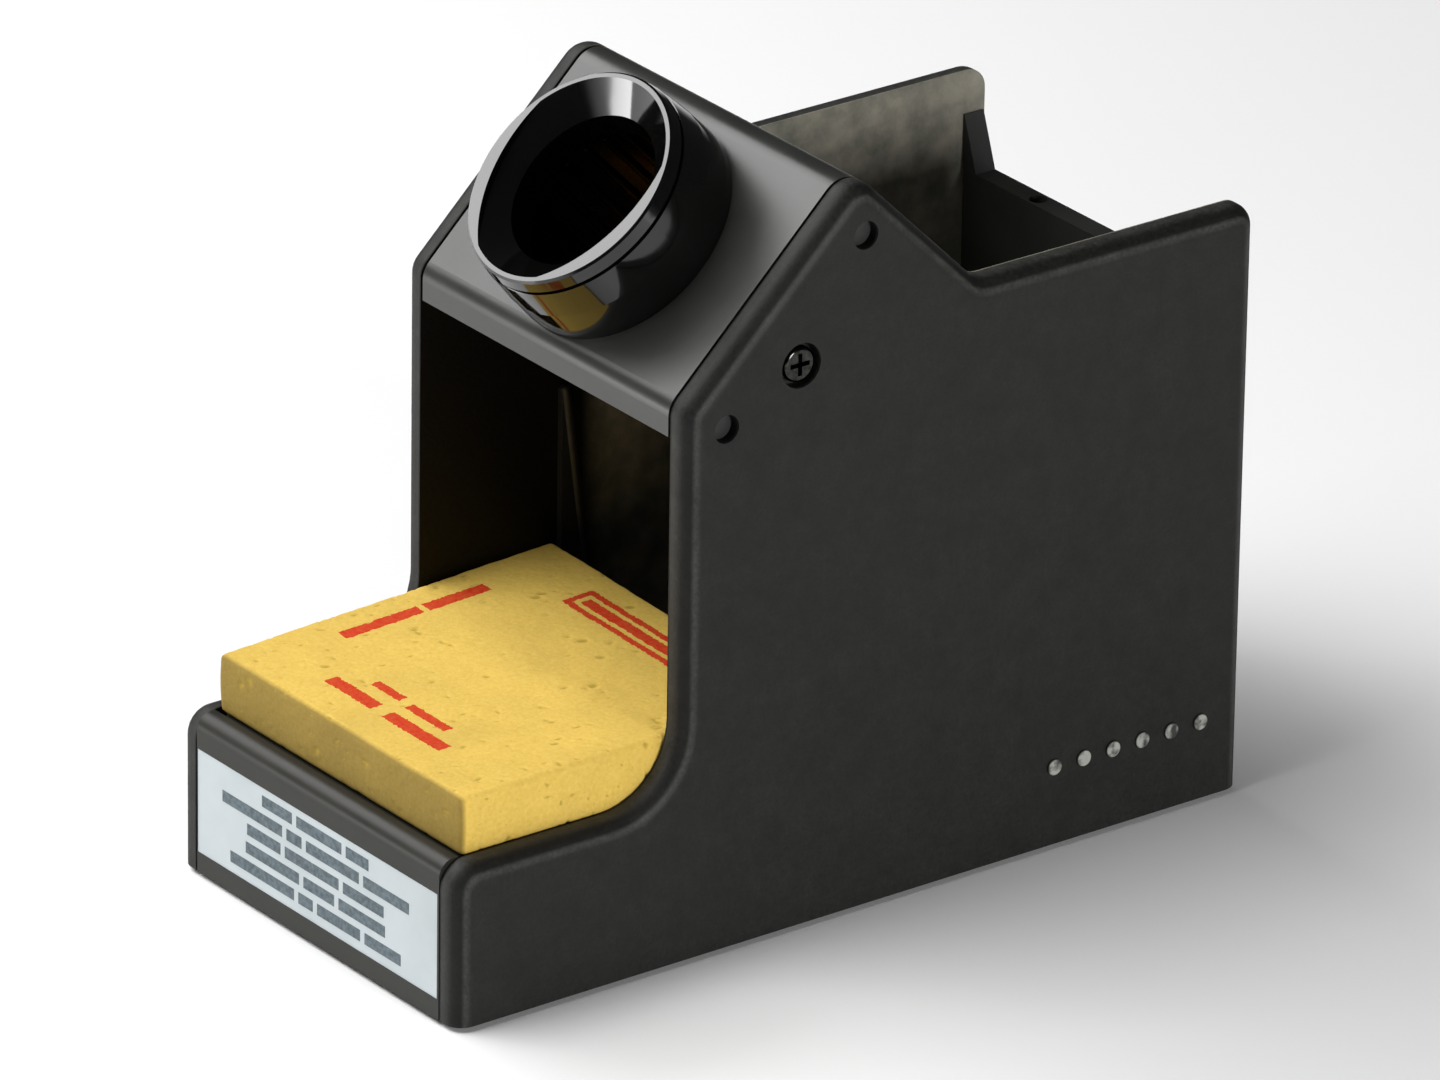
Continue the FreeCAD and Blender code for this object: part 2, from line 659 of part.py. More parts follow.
def sponge():
    """Sponge pressed into the tray, spreading over the tray's rim."""
    half, front, back, low = tray_box()
    inner_low = low + tray_floor + sponge_gap
    rim = low + tray_height + sponge_gap
    block = box(-half + tray_wall + sponge_gap, half - tray_wall - sponge_gap,
                front + tray_wall + sponge_gap, back - tray_wall - sponge_gap, inner_low, rim + 1)
    upright = [edge for edge in block.Edges if edge.BoundBox.ZLength > 1]
    block = block.makeFillet(tray_corner - tray_wall, upright)
    slab = box(-plate_inner + sponge_gap, plate_inner - sponge_gap, front + 0.1,
               backstop_front - sponge_rear_gap, rim, inner_low + sponge_height)
    slab = slab.makeFillet(sponge_edge, slab.Edges)
    return block.fuse(slab).removeSplitter()


def backstop_screw_back():
    return backstop_front + fin_foot_length + 2.0


def tray_backstop():
    """Low wall behind the tray with a tapered fin against each side plate."""
    foot_rear = backstop_screw_back() + head_radius + 1
    stop = box(-plate_inner, plate_inner, backstop_front, foot_rear, tub_top, tub_top + backstop_foot)
    stop = stop.fuse(box(-plate_inner, plate_inner, backstop_front, backstop_front + backstop_sheet,
                         tub_top, tub_top + backstop_height))
    tip = backstop_front + fin_tip_length
    fin = side_slab([(backstop_front, tub_top, 0), (backstop_front, fin_top, 0), (tip, fin_top, 0),
                     (backstop_front + fin_foot_length, tub_top, 0)],
                    plate_inner - fin_bead - fin_sheet / 2, plate_inner)
    bead_x = plate_inner - fin_bead
    bead = rod(fin_bead, V(bead_x, backstop_front + fin_foot_length, tub_top + fin_bead),
               V(bead_x, tip, fin_top))
    bead = bead.fuse(Part.makeSphere(fin_bead, V(bead_x, tip, fin_top)))
    fin = fin.fuse(bead)
    stop = stop.fuse(fin).fuse(mirror(fin)).removeSplitter()
    for x in (-cover_screw_x, cover_screw_x):
        stop = stop.cut(rod(screw_radius + through_gap, V(x, backstop_screw_back(), tub_top - 1),
                            V(x, backstop_screw_back(), tub_top + backstop_foot + 1)))
    return stop


def backstop_screws():
    return Part.makeCompound([
        pan_screw(V(x, backstop_screw_back(), tub_top + backstop_foot), V(0, 0, -1), 8.0)
        for x in (-cover_screw_x, cover_screw_x)])


def bottom_screws():
    return Part.makeCompound([
        pan_screw(V(x, back, head_height + 0.1), V(0, 0, 1), 9.0)
        for x in (-cover_screw_x, cover_screw_x) for back in cover_screw_ys])


def plate_screws():
    seat = plate_inner - tub_wall
    return Part.makeCompound([
        pan_screw(V(side * seat, back, plate_screw_z), V(side, 0, 0), tub_wall + thread_bite)
        for side in (-1, 1) for back in plate_screw_ys])


def panel_screws():
    screws = []
    for x in (-panel_screw_x, panel_screw_x):
        screws.append(pan_screw(V(x, tub_front + tub_wall, panel_screw_z), V(0, -1, 0),
                                tub_wall + thread_bite))
        screws.append(pan_screw(V(x, rear_wall_front - tub_wall, panel_screw_z), V(0, 1, 0),
                                tub_wall + thread_bite))
    return Part.makeCompound(screws)


os.makedirs("parts", exist_ok=True)
right_plate = side_plate()
save(right_plate, "side_plate_right")
save(mirror(right_plate), "side_plate_left")
for piece in (front_panel, rear_wall, base_tub, bottom_cover, rubber_feet, ballast_block, roof_cover,
              locating_pegs, roof_screws, roof_inserts, heat_deflector, deflector_rivets,
              deflector_screws, iron_cup, cup_liner, cup_lock_ring, sponge_tray, sponge,
              tray_backstop, backstop_screws, bottom_screws, plate_screws, panel_screws, front_label):
    save(piece(), piece.__name__)
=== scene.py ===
import math
import random

import bpy
from mathutils import Matrix, Vector, kdtree, noise


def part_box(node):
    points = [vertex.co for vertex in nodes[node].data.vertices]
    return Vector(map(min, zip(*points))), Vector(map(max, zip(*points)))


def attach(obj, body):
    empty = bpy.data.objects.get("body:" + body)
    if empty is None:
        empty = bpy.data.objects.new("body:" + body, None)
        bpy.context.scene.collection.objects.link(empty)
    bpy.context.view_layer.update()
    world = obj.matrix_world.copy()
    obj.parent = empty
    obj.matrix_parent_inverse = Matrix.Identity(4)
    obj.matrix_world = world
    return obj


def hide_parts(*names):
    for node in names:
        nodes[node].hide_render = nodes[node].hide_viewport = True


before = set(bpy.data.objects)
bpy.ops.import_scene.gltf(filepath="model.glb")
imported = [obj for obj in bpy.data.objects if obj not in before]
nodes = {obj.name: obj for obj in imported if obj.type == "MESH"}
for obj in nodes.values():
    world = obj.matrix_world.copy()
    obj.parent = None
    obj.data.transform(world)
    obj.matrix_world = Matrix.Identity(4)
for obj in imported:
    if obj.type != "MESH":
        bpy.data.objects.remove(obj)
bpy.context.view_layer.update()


# ---- Bench top and studio -------------------------------------------------------------------
# A plain white bench top under four soft boxes: a wide one high in front, a long one at the left
# that puts the sheen on the cup's rim and the roof, a low one at the right that reaches just over
# the near plate into the bin, and a low strip at the left that the cup's funnel mirrors.
def linear(hex_colour):
    """A linear colour from an sRGB hex value."""
    parts = [int(hex_colour[i:i + 2], 16) / 255 for i in (1, 3, 5)]
    return [c / 12.92 if c <= 0.04045 else ((c + 0.055) / 1.055) ** 2.4 for c in parts] + [1.0]


def add(tree, kind, sockets=None, **settings):
    """Adds one node: settings are its properties, sockets are values or outputs to link."""
    made = tree.nodes.new(kind)
    for name, value in settings.items():
        setattr(made, name, value)
    for name, value in (sockets or {}).items():
        socket = made.inputs[name]
        if isinstance(value, bpy.types.NodeSocket):
            tree.links.new(value, socket)
        else:
            socket.default_value = value
    return made


def new_finish(name):
    """An empty material with Object coordinates ready."""
    finish = bpy.data.materials.new(name)
    finish.use_nodes = True
    tree = finish.node_tree
    tree.nodes.clear()
    place = add(tree, "ShaderNodeTexCoord").outputs["Object"]
    return finish, tree, place


def close_finish(tree, shader):
    add(tree, "ShaderNodeOutputMaterial", {"Surface": shader.outputs[0]})


bench_white, tree, place = new_finish("bench_top_matt_white_laminate")
mottle = add(tree, "ShaderNodeTexNoise", {"Vector": place, "Scale": 6.0, "Detail": 2.0})
tone = add(tree, "ShaderNodeMapRange", {"Value": mottle.outputs["Fac"], "To Min": 0.95, "To Max": 0.98})
white = add(tree, "ShaderNodeCombineColor", {0: tone.outputs[0], 1: tone.outputs[0], 2: tone.outputs[0]})
close_finish(tree, add(tree, "ShaderNodeBsdfPrincipled",
                       {"Base Color": white.outputs[0], "Roughness": 0.75}))

bench_mesh = bpy.data.meshes.new("bench_top")
reach = 4.0
corners = [(-reach, -reach, 0), (reach, -reach, 0), (reach, reach, 0), (-reach, reach, 0)]
bench_mesh.from_pydata(corners, [], [(0, 1, 2, 3)])
bench_mesh.materials.append(bench_white)
bench = bpy.data.objects.new("bench_top", bench_mesh)
bpy.context.collection.objects.link(bench)

surround_strength = 0.03
world = bpy.data.worlds.new("studio")
bpy.context.scene.world = world
world.use_nodes = True
surround = world.node_tree.nodes["Background"]
surround.inputs["Color"].default_value = (1.0, 1.0, 1.0, 1.0)
surround.inputs["Strength"].default_value = surround_strength


def soft_box(name, position, aim, width, height, power):
    """A rectangular soft box, sizes in metres and power in watts."""
    data = bpy.data.lights.new(name, "AREA")
    data.shape, data.size, data.size_y, data.energy = "RECTANGLE", width, height, power
    lamp = bpy.data.objects.new(name, data)
    lamp.location = position
    lamp.rotation_mode = "QUATERNION"
    lamp.rotation_quaternion = (Vector(aim) - Vector(position)).to_track_quat("-Z", "Y")
    bpy.context.collection.objects.link(lamp)


soft_box("soft_box_over", (-0.26, -0.70, 1.12), (0, 0, 0.05), 0.9, 0.9, 14.2)
soft_box("soft_box_left", (-0.95, -0.32, 0.85), (0, -0.03, 0.12), 1.0, 0.5, 10.6)
soft_box("soft_box_right", (1.15, 0.10, 0.26), (0, 0, 0.06), 0.24, 0.24, 8.2)
soft_box("soft_box_low_left", (-0.205, -0.36, 0.03), (0, -0.03, 0.13), 0.21, 0.05, 0.34)
bpy.context.scene.view_settings.view_transform = "Standard"


# ---- Camera ---------------------------------------------------------------------------------
# A long lens a little over two metres away, turned to the right-hand front corner.
aim, distance = Vector((0.00103, -0.00038, 0.05418)), 2.29116
focal_mm, sensor_mm = 339.98, 36.0
turn, tilt, lean = math.radians(52.95), math.radians(24.25), math.radians(0.84)
back = Vector((math.sin(turn) * math.cos(tilt), -math.cos(turn) * math.cos(tilt), math.sin(tilt)))
across = Vector((math.cos(turn), math.sin(turn), 0))
upward = back.cross(across)
across, upward = (across * math.cos(lean) + upward * math.sin(lean),
                  upward * math.cos(lean) - across * math.sin(lean))
lens = bpy.data.cameras.new("camera")
lens.lens, lens.sensor_width, lens.clip_start, lens.clip_end = focal_mm, sensor_mm, 0.1, 20.0
camera = bpy.data.objects.new("camera", lens)
facing = Matrix((across, upward, back)).transposed().to_4x4()
camera.matrix_world = Matrix.Translation(aim + back * distance) @ facing
bpy.context.collection.objects.link(camera)
bpy.context.scene.camera = camera


# ---- Side plates ----------------------------------------------------------------------------
# Two zinc die-castings under a dark charcoal texture paint: fine uneven grain with a dull sheen.
# A painted highlight and a painted dark reflection band cross the rounded edge: lighter on its inner
# half, darker beyond, and a bright painted highlight line along its outer end. The tips of the raised
# pips carry painted highlights. The paint is thin inside the rear bin; under the roof the inner faces
# are painted near-black as shade.
def two_tone(tree, level, dark, light, start=0.3, stop=0.7):
    """A ramp from a dark to a light hex colour as the level goes from start to stop."""
    made = add(tree, "ShaderNodeValToRGB", {"Fac": level})
    for element, position, colour in zip(made.color_ramp.elements, (start, stop), (dark, light)):
        element.position, element.color = position, linear(colour)
    return made


cast_paint, tree, place = new_finish("charcoal_texture_paint_on_zinc_casting")
grain_mm, blotch_mm, pit_mm, chip_mm = 0.7, 6.0, 0.4, 2.2
pip_height = 0.0005
inner_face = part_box("base_tub")[1].x
outer_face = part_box("side_plate_right")[1].x - pip_height
grain = add(tree, "ShaderNodeTexNoise", {"Vector": place, "Scale": 1000 / grain_mm, "Detail": 3.0,
                                         "Roughness": 0.6})
blotch = add(tree, "ShaderNodeTexNoise", {"Vector": place, "Scale": 1000 / blotch_mm, "Detail": 4.0,
                                          "Roughness": 0.6})
pits = add(tree, "ShaderNodeTexNoise", {"Vector": place, "Scale": 1000 / pit_mm, "Detail": 1.0})
chips = add(tree, "ShaderNodeTexNoise", {"Vector": place, "Scale": 1000 / chip_mm, "Detail": 3.0})
speck = two_tone(tree, grain.outputs["Fac"], "#141413", "#222220", stop=0.72)
cloud = add(tree, "ShaderNodeMapRange", {"Value": blotch.outputs["Fac"], "From Min": 0.3, "From Max": 0.7,
                                         "To Min": 0.82, "To Max": 1.18})
coat = add(tree, "ShaderNodeVectorMath", {0: speck.outputs["Color"], 1: cloud.outputs[0]},
           operation="MULTIPLY")
sides = add(tree, "ShaderNodeSeparateXYZ", {"Vector": place})
depth = add(tree, "ShaderNodeMath", {0: sides.outputs["X"]}, operation="ABSOLUTE")
edge = add(tree, "ShaderNodeMapRange", {"Value": depth.outputs[0], "From Min": inner_face,
                                        "From Max": outer_face})
# Painted highlight and painted reflection across the rounded edge of the plate.
edge_highlight = add(tree, "ShaderNodeValToRGB", {"Fac": edge.outputs[0]})
# From the inner face to the outer one: share of the thickness, and how much the painted highlight lifts
# the colour (below 1 it is a painted dark reflection).
edge_highlight_stops = ((0.05, 1.0), (0.10, 2.6), (0.42, 2.0), (0.62, 0.75), (0.86, 0.6), (0.93, 3.2), (0.97, 2.4),
         (0.995, 1.0))
ramp, full = edge_highlight.color_ramp, 4.0
ramp.elements[0].position, ramp.elements[1].position = edge_highlight_stops[0][0], edge_highlight_stops[-1][0]
for stop, lift in edge_highlight_stops[1:-1]:
    ramp.elements.new(stop)
for element, (stop, lift) in zip(ramp.elements, edge_highlight_stops):
    element.color = (lift / full, lift / full, lift / full, 1)
lift = add(tree, "ShaderNodeVectorMath", {0: edge_highlight.outputs["Color"], "Scale": full}, operation="SCALE")
patchy = add(tree, "ShaderNodeMapRange", {"Value": chips.outputs["Fac"], "From Min": 0.3, "From Max": 0.7,
                                          "To Min": 0.88, "To Max": 1.10})
coat = add(tree, "ShaderNodeVectorMath", {0: coat.outputs[0], 1: lift.outputs[0]}, operation="MULTIPLY")
coat = add(tree, "ShaderNodeVectorMath", {0: coat.outputs[0], 1: patchy.outputs[0]}, operation="MULTIPLY")
thin = two_tone(tree, blotch.outputs["Fac"], "#64645a", "#908b7e", 0.32, 0.68)
inward = add(tree, "ShaderNodeMapRange", {"Value": depth.outputs[0], "From Min": inner_face + 0.00005,
                                          "From Max": inner_face + 0.0004, "To Min": 1.0, "To Max": 0.0})
bin_side = add(tree, "ShaderNodeMapRange", {"Value": sides.outputs["Y"], "From Min": -0.003,
                                            "From Max": 0.003})
# Painted shade: the inner faces under the roof are near-black; inside the rear bin they take the thin
# paint.
roof_shade_and_bin_paint = add(tree, "ShaderNodeMix", {"Factor": bin_side.outputs[0], "A": linear("#070706"),
                                         "B": thin.outputs["Color"]}, data_type="RGBA")
coat = add(tree, "ShaderNodeMix", {"Factor": inward.outputs[0], "A": coat.outputs[0],
                                   "B": roof_shade_and_bin_paint.outputs["Result"]}, data_type="RGBA")
# Painted highlight: the tips of the raised pips turn pale, broken up by noise.
proud = add(tree, "ShaderNodeMapRange", {"Value": depth.outputs[0],
                                         "From Min": outer_face + 0.6 * pip_height,
                                         "From Max": outer_face + 0.96 * pip_height})
pip_highlight_breakup = add(tree, "ShaderNodeMapRange", {"Value": chips.outputs["Fac"], "From Min": 0.42,
                                          "From Max": 0.60, "To Min": 0.08, "To Max": 0.9})
pip_highlight = add(tree, "ShaderNodeMath", {0: proud.outputs[0], 1: pip_highlight_breakup.outputs[0]}, operation="MULTIPLY")
coat = add(tree, "ShaderNodeMix", {"Factor": pip_highlight.outputs[0], "A": coat.outputs["Result"],
                                   "B": linear("#a9a9a3")}, data_type="RGBA")
dull = add(tree, "ShaderNodeMapRange", {"Value": grain.outputs["Fac"], "From Min": 0.3, "From Max": 0.7,
                                        "To Min": 0.50, "To Max": 0.66})
relief = add(tree, "ShaderNodeBump", {"Height": pits.outputs["Fac"], "Strength": 0.35,
                                      "Distance": 0.00008})
relief = add(tree, "ShaderNodeBump", {"Height": grain.outputs["Fac"], "Strength": 0.4,
                                      "Distance": 0.00014, "Normal": relief.outputs[0]})
close_finish(tree, add(tree, "ShaderNodeBsdfPrincipled", {
    "Base Color": coat.outputs["Result"], "Roughness": dull.outputs[0], "IOR": 1.45,
    "Specular IOR Level": 0.25,
    "Normal": relief.outputs[0]}))
for name in ("side_plate_right", "side_plate_left"):
    nodes[name].material_slots[0].material = cast_paint


# ---- Front panel and rear wall --------------------------------------------------------------
# Plain castings between the plates in the same family of paint, but smooth: a satin enamel
# with a faint orange-peel skin.
def satin_enamel(name, dark, light, gloss, sheen=0.5):
    """Sprayed satin enamel: even colour, slight cloudiness, orange-peel relief."""
    finish, tree, place = new_finish(name)
    peel_mm, cloud_mm = 1.3, 18.0
    peel = add(tree, "ShaderNodeTexNoise", {"Vector": place, "Scale": 1000 / peel_mm, "Detail": 1.0})
    clouds = add(tree, "ShaderNodeTexNoise", {"Vector": place, "Scale": 1000 / cloud_mm, "Detail": 3.0})
    tint = two_tone(tree, clouds.outputs["Fac"], dark, light)
    rough = add(tree, "ShaderNodeMapRange", {"Value": clouds.outputs["Fac"], "From Min": 0.3,
                                             "From Max": 0.7, "To Min": gloss - 0.03,
                                             "To Max": gloss + 0.03})
    skin = add(tree, "ShaderNodeBump", {"Height": peel.outputs["Fac"], "Strength": 0.15,
                                        "Distance": 0.00006})
    close_finish(tree, add(tree, "ShaderNodeBsdfPrincipled", {
        "Base Color": tint.outputs["Color"], "Roughness": rough.outputs[0], "IOR": 1.5,
        "Specular IOR Level": sheen, "Normal": skin.outputs[0]}))
    return finish


nodes["front_panel"].material_slots[0].material = satin_enamel("dark_grey_satin_enamel",
                                                               "#262622", "#2f2e2a", 0.40, 0.2)
# The rear wall's enamel is darkened as painted shade for the back of the bin.
nodes["rear_wall"].material_slots[0].material = satin_enamel("charcoal_enamel_darkened_as_painted_shade",
                                                             "#141413", "#1d1d1b", 0.5, 0.4)


# ---- Roof cover -----------------------------------------------------------------------------
# Folded aluminium sheet, sprayed smooth mid-grey satin enamel.
nodes["roof_cover"].material_slots[0].material = satin_enamel("mid_grey_satin_enamel",
                                                              "#2a2b28", "#323330", 0.34, 0.45)


# ---- Iron cup -------------------------------------------------------------------------------
# Turned from black phenolic rod, lacquered and polished: a deep black body colour under a hard
# clear gloss that mirrors the sponge and the soft boxes.
phenolic, tree, place = new_finish("polished_black_phenolic")
smear_mm = 9.0
smear = add(tree, "ShaderNodeTexNoise", {"Vector": place, "Scale": 1000 / smear_mm, "Detail": 4.0})
rub = add(tree, "ShaderNodeMapRange", {"Value": smear.outputs["Fac"], "From Min": 0.3, "From Max": 0.7,
                                       "To Min": 0.05, "To Max": 0.10})
body = two_tone(tree, smear.outputs["Fac"], "#060606", "#0c0c0b", 0.0, 1.0)
close_finish(tree, add(tree, "ShaderNodeBsdfPrincipled", {
    "Base Color": body.outputs["Color"], "Roughness": rub.outputs[0], "IOR": 1.58}))
nodes["iron_cup"].material_slots[0].material = phenolic


# ---- Cup liner ------------------------------------------------------------------------------
# Stainless strip rolled to a ribbed sleeve: drawn steel, browned by heat, with fine lines along
# the ribs. The ring that holds the cup is black anodised aluminium.
def drawn_metal(name, dark, light, gloss, line_mm, stretch=(1, 1, 12)):
    """Bare metal with fine parallel drawing lines."""
    finish, tree, place = new_finish(name)
    lay = add(tree, "ShaderNodeMapping", {"Vector": place, "Scale": stretch})
    lines = add(tree, "ShaderNodeTexNoise", {"Vector": lay.outputs[0], "Scale": 1000 / line_mm,
                                             "Detail": 2.0})
    tint = two_tone(tree, lines.outputs["Fac"], dark, light)
    rough = add(tree, "ShaderNodeMapRange", {"Value": lines.outputs["Fac"], "From Min": 0.3,
                                             "From Max": 0.7, "To Min": gloss - 0.06,
                                             "To Max": gloss + 0.06})
    close_finish(tree, add(tree, "ShaderNodeBsdfPrincipled", {
        "Base Color": tint.outputs["Color"], "Roughness": rough.outputs[0], "Metallic": 1.0}))
    return finish


nodes["cup_liner"].material_slots[0].material = drawn_metal("heat_darkened_stainless_steel",
                                                            "#1e1815", "#33261f", 0.3, 0.6)
nodes["cup_lock_ring"].material_slots[0].material = drawn_metal("black_anodised_aluminium",
                                                                "#1c1c1c", "#2a2a2a", 0.4, 0.5)


# ---- Screws and inserts ---------------------------------------------------------------------
# Zinc-plated cross-head screws, bright where they are hidden and black where they hold the roof.
# Turned brass inserts are pressed into the roof's bosses.
zinc = drawn_metal("bright_zinc_plate", "#a9aaa4", "#dcdcd6", 0.25, 0.8, (1, 1, 1))
for name in ("plate_screws", "deflector_screws", "backstop_screws", "bottom_screws", "panel_screws"):
    nodes[name].material_slots[0].material = zinc
nodes["roof_screws"].material_slots[0].material = drawn_metal("black_zinc_plate", "#2a2a28", "#464643",
                                                              0.16, 0.8, (1, 1, 1))
nodes["roof_inserts"].material_slots[0].material = drawn_metal("turned_brass", "#a8853f", "#c9a75c",
                                                                0.3, 0.5, (12, 1, 1))


# ---- Heat deflector -------------------------------------------------------------------------
# Rolled mild steel sheet, hung under the roof's rear slope by two rivets and screwed to the wall.
deflector_steel = drawn_metal("rolled_steel_sheet", "#6f6e69", "#8b8a84", 0.42, 0.7, (1, 12, 1))
for name in ("heat_deflector", "deflector_rivets"):
    nodes[name].material_slots[0].material = deflector_steel


# ---- Base, cover, tray, backstop and pegs ---------------------------------------------------
# Black glass-filled nylon mouldings with a fine spark-eroded skin.
def moulded_plastic(name, dark, light, gloss, skin_mm=0.5, relief_mm=0.05):
    """Moulded plastic with a fine eroded skin."""
    finish, tree, place = new_finish(name)
    skin = add(tree, "ShaderNodeTexNoise", {"Vector": place, "Scale": 1000 / skin_mm, "Detail": 2.0})
    tint = two_tone(tree, skin.outputs["Fac"], dark, light)
    bump = add(tree, "ShaderNodeBump", {"Height": skin.outputs["Fac"], "Strength": 0.5,
                                        "Distance": relief_mm / 1000})
    close_finish(tree, add(tree, "ShaderNodeBsdfPrincipled", {
        "Base Color": tint.outputs["Color"], "Roughness": gloss, "IOR": 1.5, "Normal": bump.outputs[0]}))
    return finish


black_nylon = moulded_plastic("black_glass_filled_nylon", "#161615", "#1f1f1d", 0.55)
for name in ("base_tub", "bottom_cover", "sponge_tray", "tray_backstop", "locating_pegs"):
    nodes[name].material_slots[0].material = black_nylon


# ---- Rubber feet ----------------------------------------------------------------------------
# Die-cut discs of black nitrile rubber, glued into pockets in the cover.
nodes["rubber_feet"].material_slots[0].material = moulded_plastic("black_nitrile_rubber", "#0e0e0e",
                                                                  "#171716", 0.8, 0.9, 0.08)


# ---- Ballast block --------------------------------------------------------------------------
# A block of grey iron, as cast, shut inside the base.
nodes["ballast_block"].material_slots[0].material = moulded_plastic("grey_iron_as_cast", "#2e2e2e",
                                                                    "#3c3b3a", 0.7, 1.4, 0.15)


# ---- Label ----------------------------------------------------------------------------------
# Satin polyester film, pale bluish white, stuck in a shallow recess.
film, tree, place = new_finish("satin_polyester_film")
tone_mm = 14.0
tone = add(tree, "ShaderNodeTexNoise", {"Vector": place, "Scale": 1000 / tone_mm, "Detail": 3.0})
tint = two_tone(tree, tone.outputs["Fac"], "#adb6b8", "#b9c1c4")
close_finish(tree, add(tree, "ShaderNodeBsdfPrincipled", {
    "Base Color": tint.outputs["Color"], "Roughness": 0.4, "IOR": 1.6}))
nodes["front_label"].material_slots[0].material = film


# ---- Label printing -------------------------------------------------------------------------
# Five centred rows of plain bars in dark ink, one bar for each word, raised by the ink's own
# thickness. The words are points that carry their length; Geometry Nodes sets a bar on each.
label_low, label_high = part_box("front_label")
ink, tree, place = new_finish("dark_screen_ink")
streak_mm = 0.8
streak = add(tree, "ShaderNodeTexNoise", {"Vector": place, "Scale": 1000 / streak_mm, "Detail": 2.0})
tint = two_tone(tree, streak.outputs["Fac"], "#34424a", "#5a6a70")
close_finish(tree, add(tree, "ShaderNodeBsdfPrincipled", {
    "Base Color": tint.outputs["Color"], "Roughness": 0.5, "IOR": 1.5}))


def print_bars(name, finish, words, bar_height, ink_thickness):
    """Bars laid on points (x, y, z, length), as one mesh."""
    points = bpy.data.meshes.new(name + "_points")
    points.from_pydata([word[:3] for word in words], [], [])
    points.attributes.new("word_length", "FLOAT", "POINT").data.foreach_set(
        "value", [word[3] for word in words])
    carrier = bpy.data.objects.new(name + "_points", points)
    bpy.context.collection.objects.link(carrier)
    tree = bpy.data.node_groups.new(name + "_nodes", "GeometryNodeTree")
    face = tree.interface
    face.new_socket("Geometry", in_out="INPUT", socket_type="NodeSocketGeometry")
    for label, kind in (("Bar Height", "Float"), ("Ink Thickness", "Float"), ("Ink", "Material")):
        face.new_socket(label, in_out="INPUT", socket_type="NodeSocket" + kind)
    face.new_socket("Geometry", in_out="OUTPUT", socket_type="NodeSocketGeometry")
    given = add(tree, "NodeGroupInput")
    length = add(tree, "GeometryNodeInputNamedAttribute", {"Name": "word_length"}, data_type="FLOAT")
    bar = add(tree, "GeometryNodeMeshCube", {"Size": (1.0, 1.0, 1.0)})
    size = add(tree, "ShaderNodeCombineXYZ", {"X": length.outputs["Attribute"],
                                              "Y": given.outputs["Ink Thickness"],
                                              "Z": given.outputs["Bar Height"]})
    laid = add(tree, "GeometryNodeInstanceOnPoints", {"Points": given.outputs["Geometry"],
                                                      "Instance": bar.outputs["Mesh"],
                                                      "Scale": size.outputs[0]})
    real = add(tree, "GeometryNodeRealizeInstances", {"Geometry": laid.outputs[0]})
    inked = add(tree, "GeometryNodeSetMaterial", {"Geometry": real.outputs[0],
                                                  "Material": given.outputs["Ink"]})
    add(tree, "NodeGroupOutput", {"Geometry": inked.outputs[0]})
    maker = carrier.modifiers.new("bars", "NODES")
    maker.node_group = tree
    values = {"Bar Height": bar_height, "Ink Thickness": ink_thickness, "Ink": finish}
    for item in face.items_tree:
        if item.in_out == "INPUT" and item.name in values:
            maker[item.identifier] = values[item.name]
    evaluated = carrier.evaluated_get(bpy.context.evaluated_depsgraph_get())
    mesh = bpy.data.meshes.new_from_object(evaluated)
    carrier.modifiers.remove(maker)
    bpy.data.objects.remove(carrier)
    made = bpy.data.objects.new(name, mesh)
    bpy.context.collection.objects.link(made)
    return made


word_gap, row_pitch, first_row_down, rows_left = 0.0013, 0.00345, 0.0025, 0.0004
bar_height, ink_thickness, ink_lift = 0.0021, 0.00006, 0.00001
# Each row: its whole length, and the words' lengths in proportion.
rows = ((0.0307, (4, 6, 3)), (0.0538, (8, 2, 7, 6)), (0.0394, (5, 8, 6)), (0.0402, (7, 4, 6)),
        (0.0492, (9, 2, 6, 5)))
words = []
for row, (row_length, shares) in enumerate(rows):
    share_length = (row_length - (len(shares) - 1) * word_gap) / sum(shares)
    x = (label_low.x + label_high.x) / 2 - rows_left - row_length / 2
    for share in shares:
        length = share * share_length
        words.append((x + length / 2, label_low.y - ink_lift,
                      label_high.z - first_row_down - row * row_pitch, length))
        x += length + word_gap
label_print = print_bars("label_word_bars", ink, words, bar_height, ink_thickness)
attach(label_print, "stand")


# ---- Sponge ---------------------------------------------------------------------------------
# Damp cellulose sponge, swollen over the tray's rim and highest at its back left corner. Every
# pore is pressed into the skin of a fine mesh, and painted shade darkens the colour by the pore's depth.
# The front face carries painted shade too.
sponge_low, sponge_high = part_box("sponge")
skin_cell = 0.00056
sponge_skin = nodes["sponge"].data.copy()
sponge = bpy.data.objects.new("wet_sponge", sponge_skin)
bpy.context.collection.objects.link(sponge)
refine = sponge.modifiers.new("refine", "REMESH")
refine.mode, refine.voxel_size = "VOXEL", skin_cell
sponge_skin = bpy.data.meshes.new_from_object(
    sponge.evaluated_get(bpy.context.evaluated_depsgraph_get()))
sponge.modifiers.remove(refine)
sponge.data = sponge_skin
sponge_skin.name = "wet_sponge"

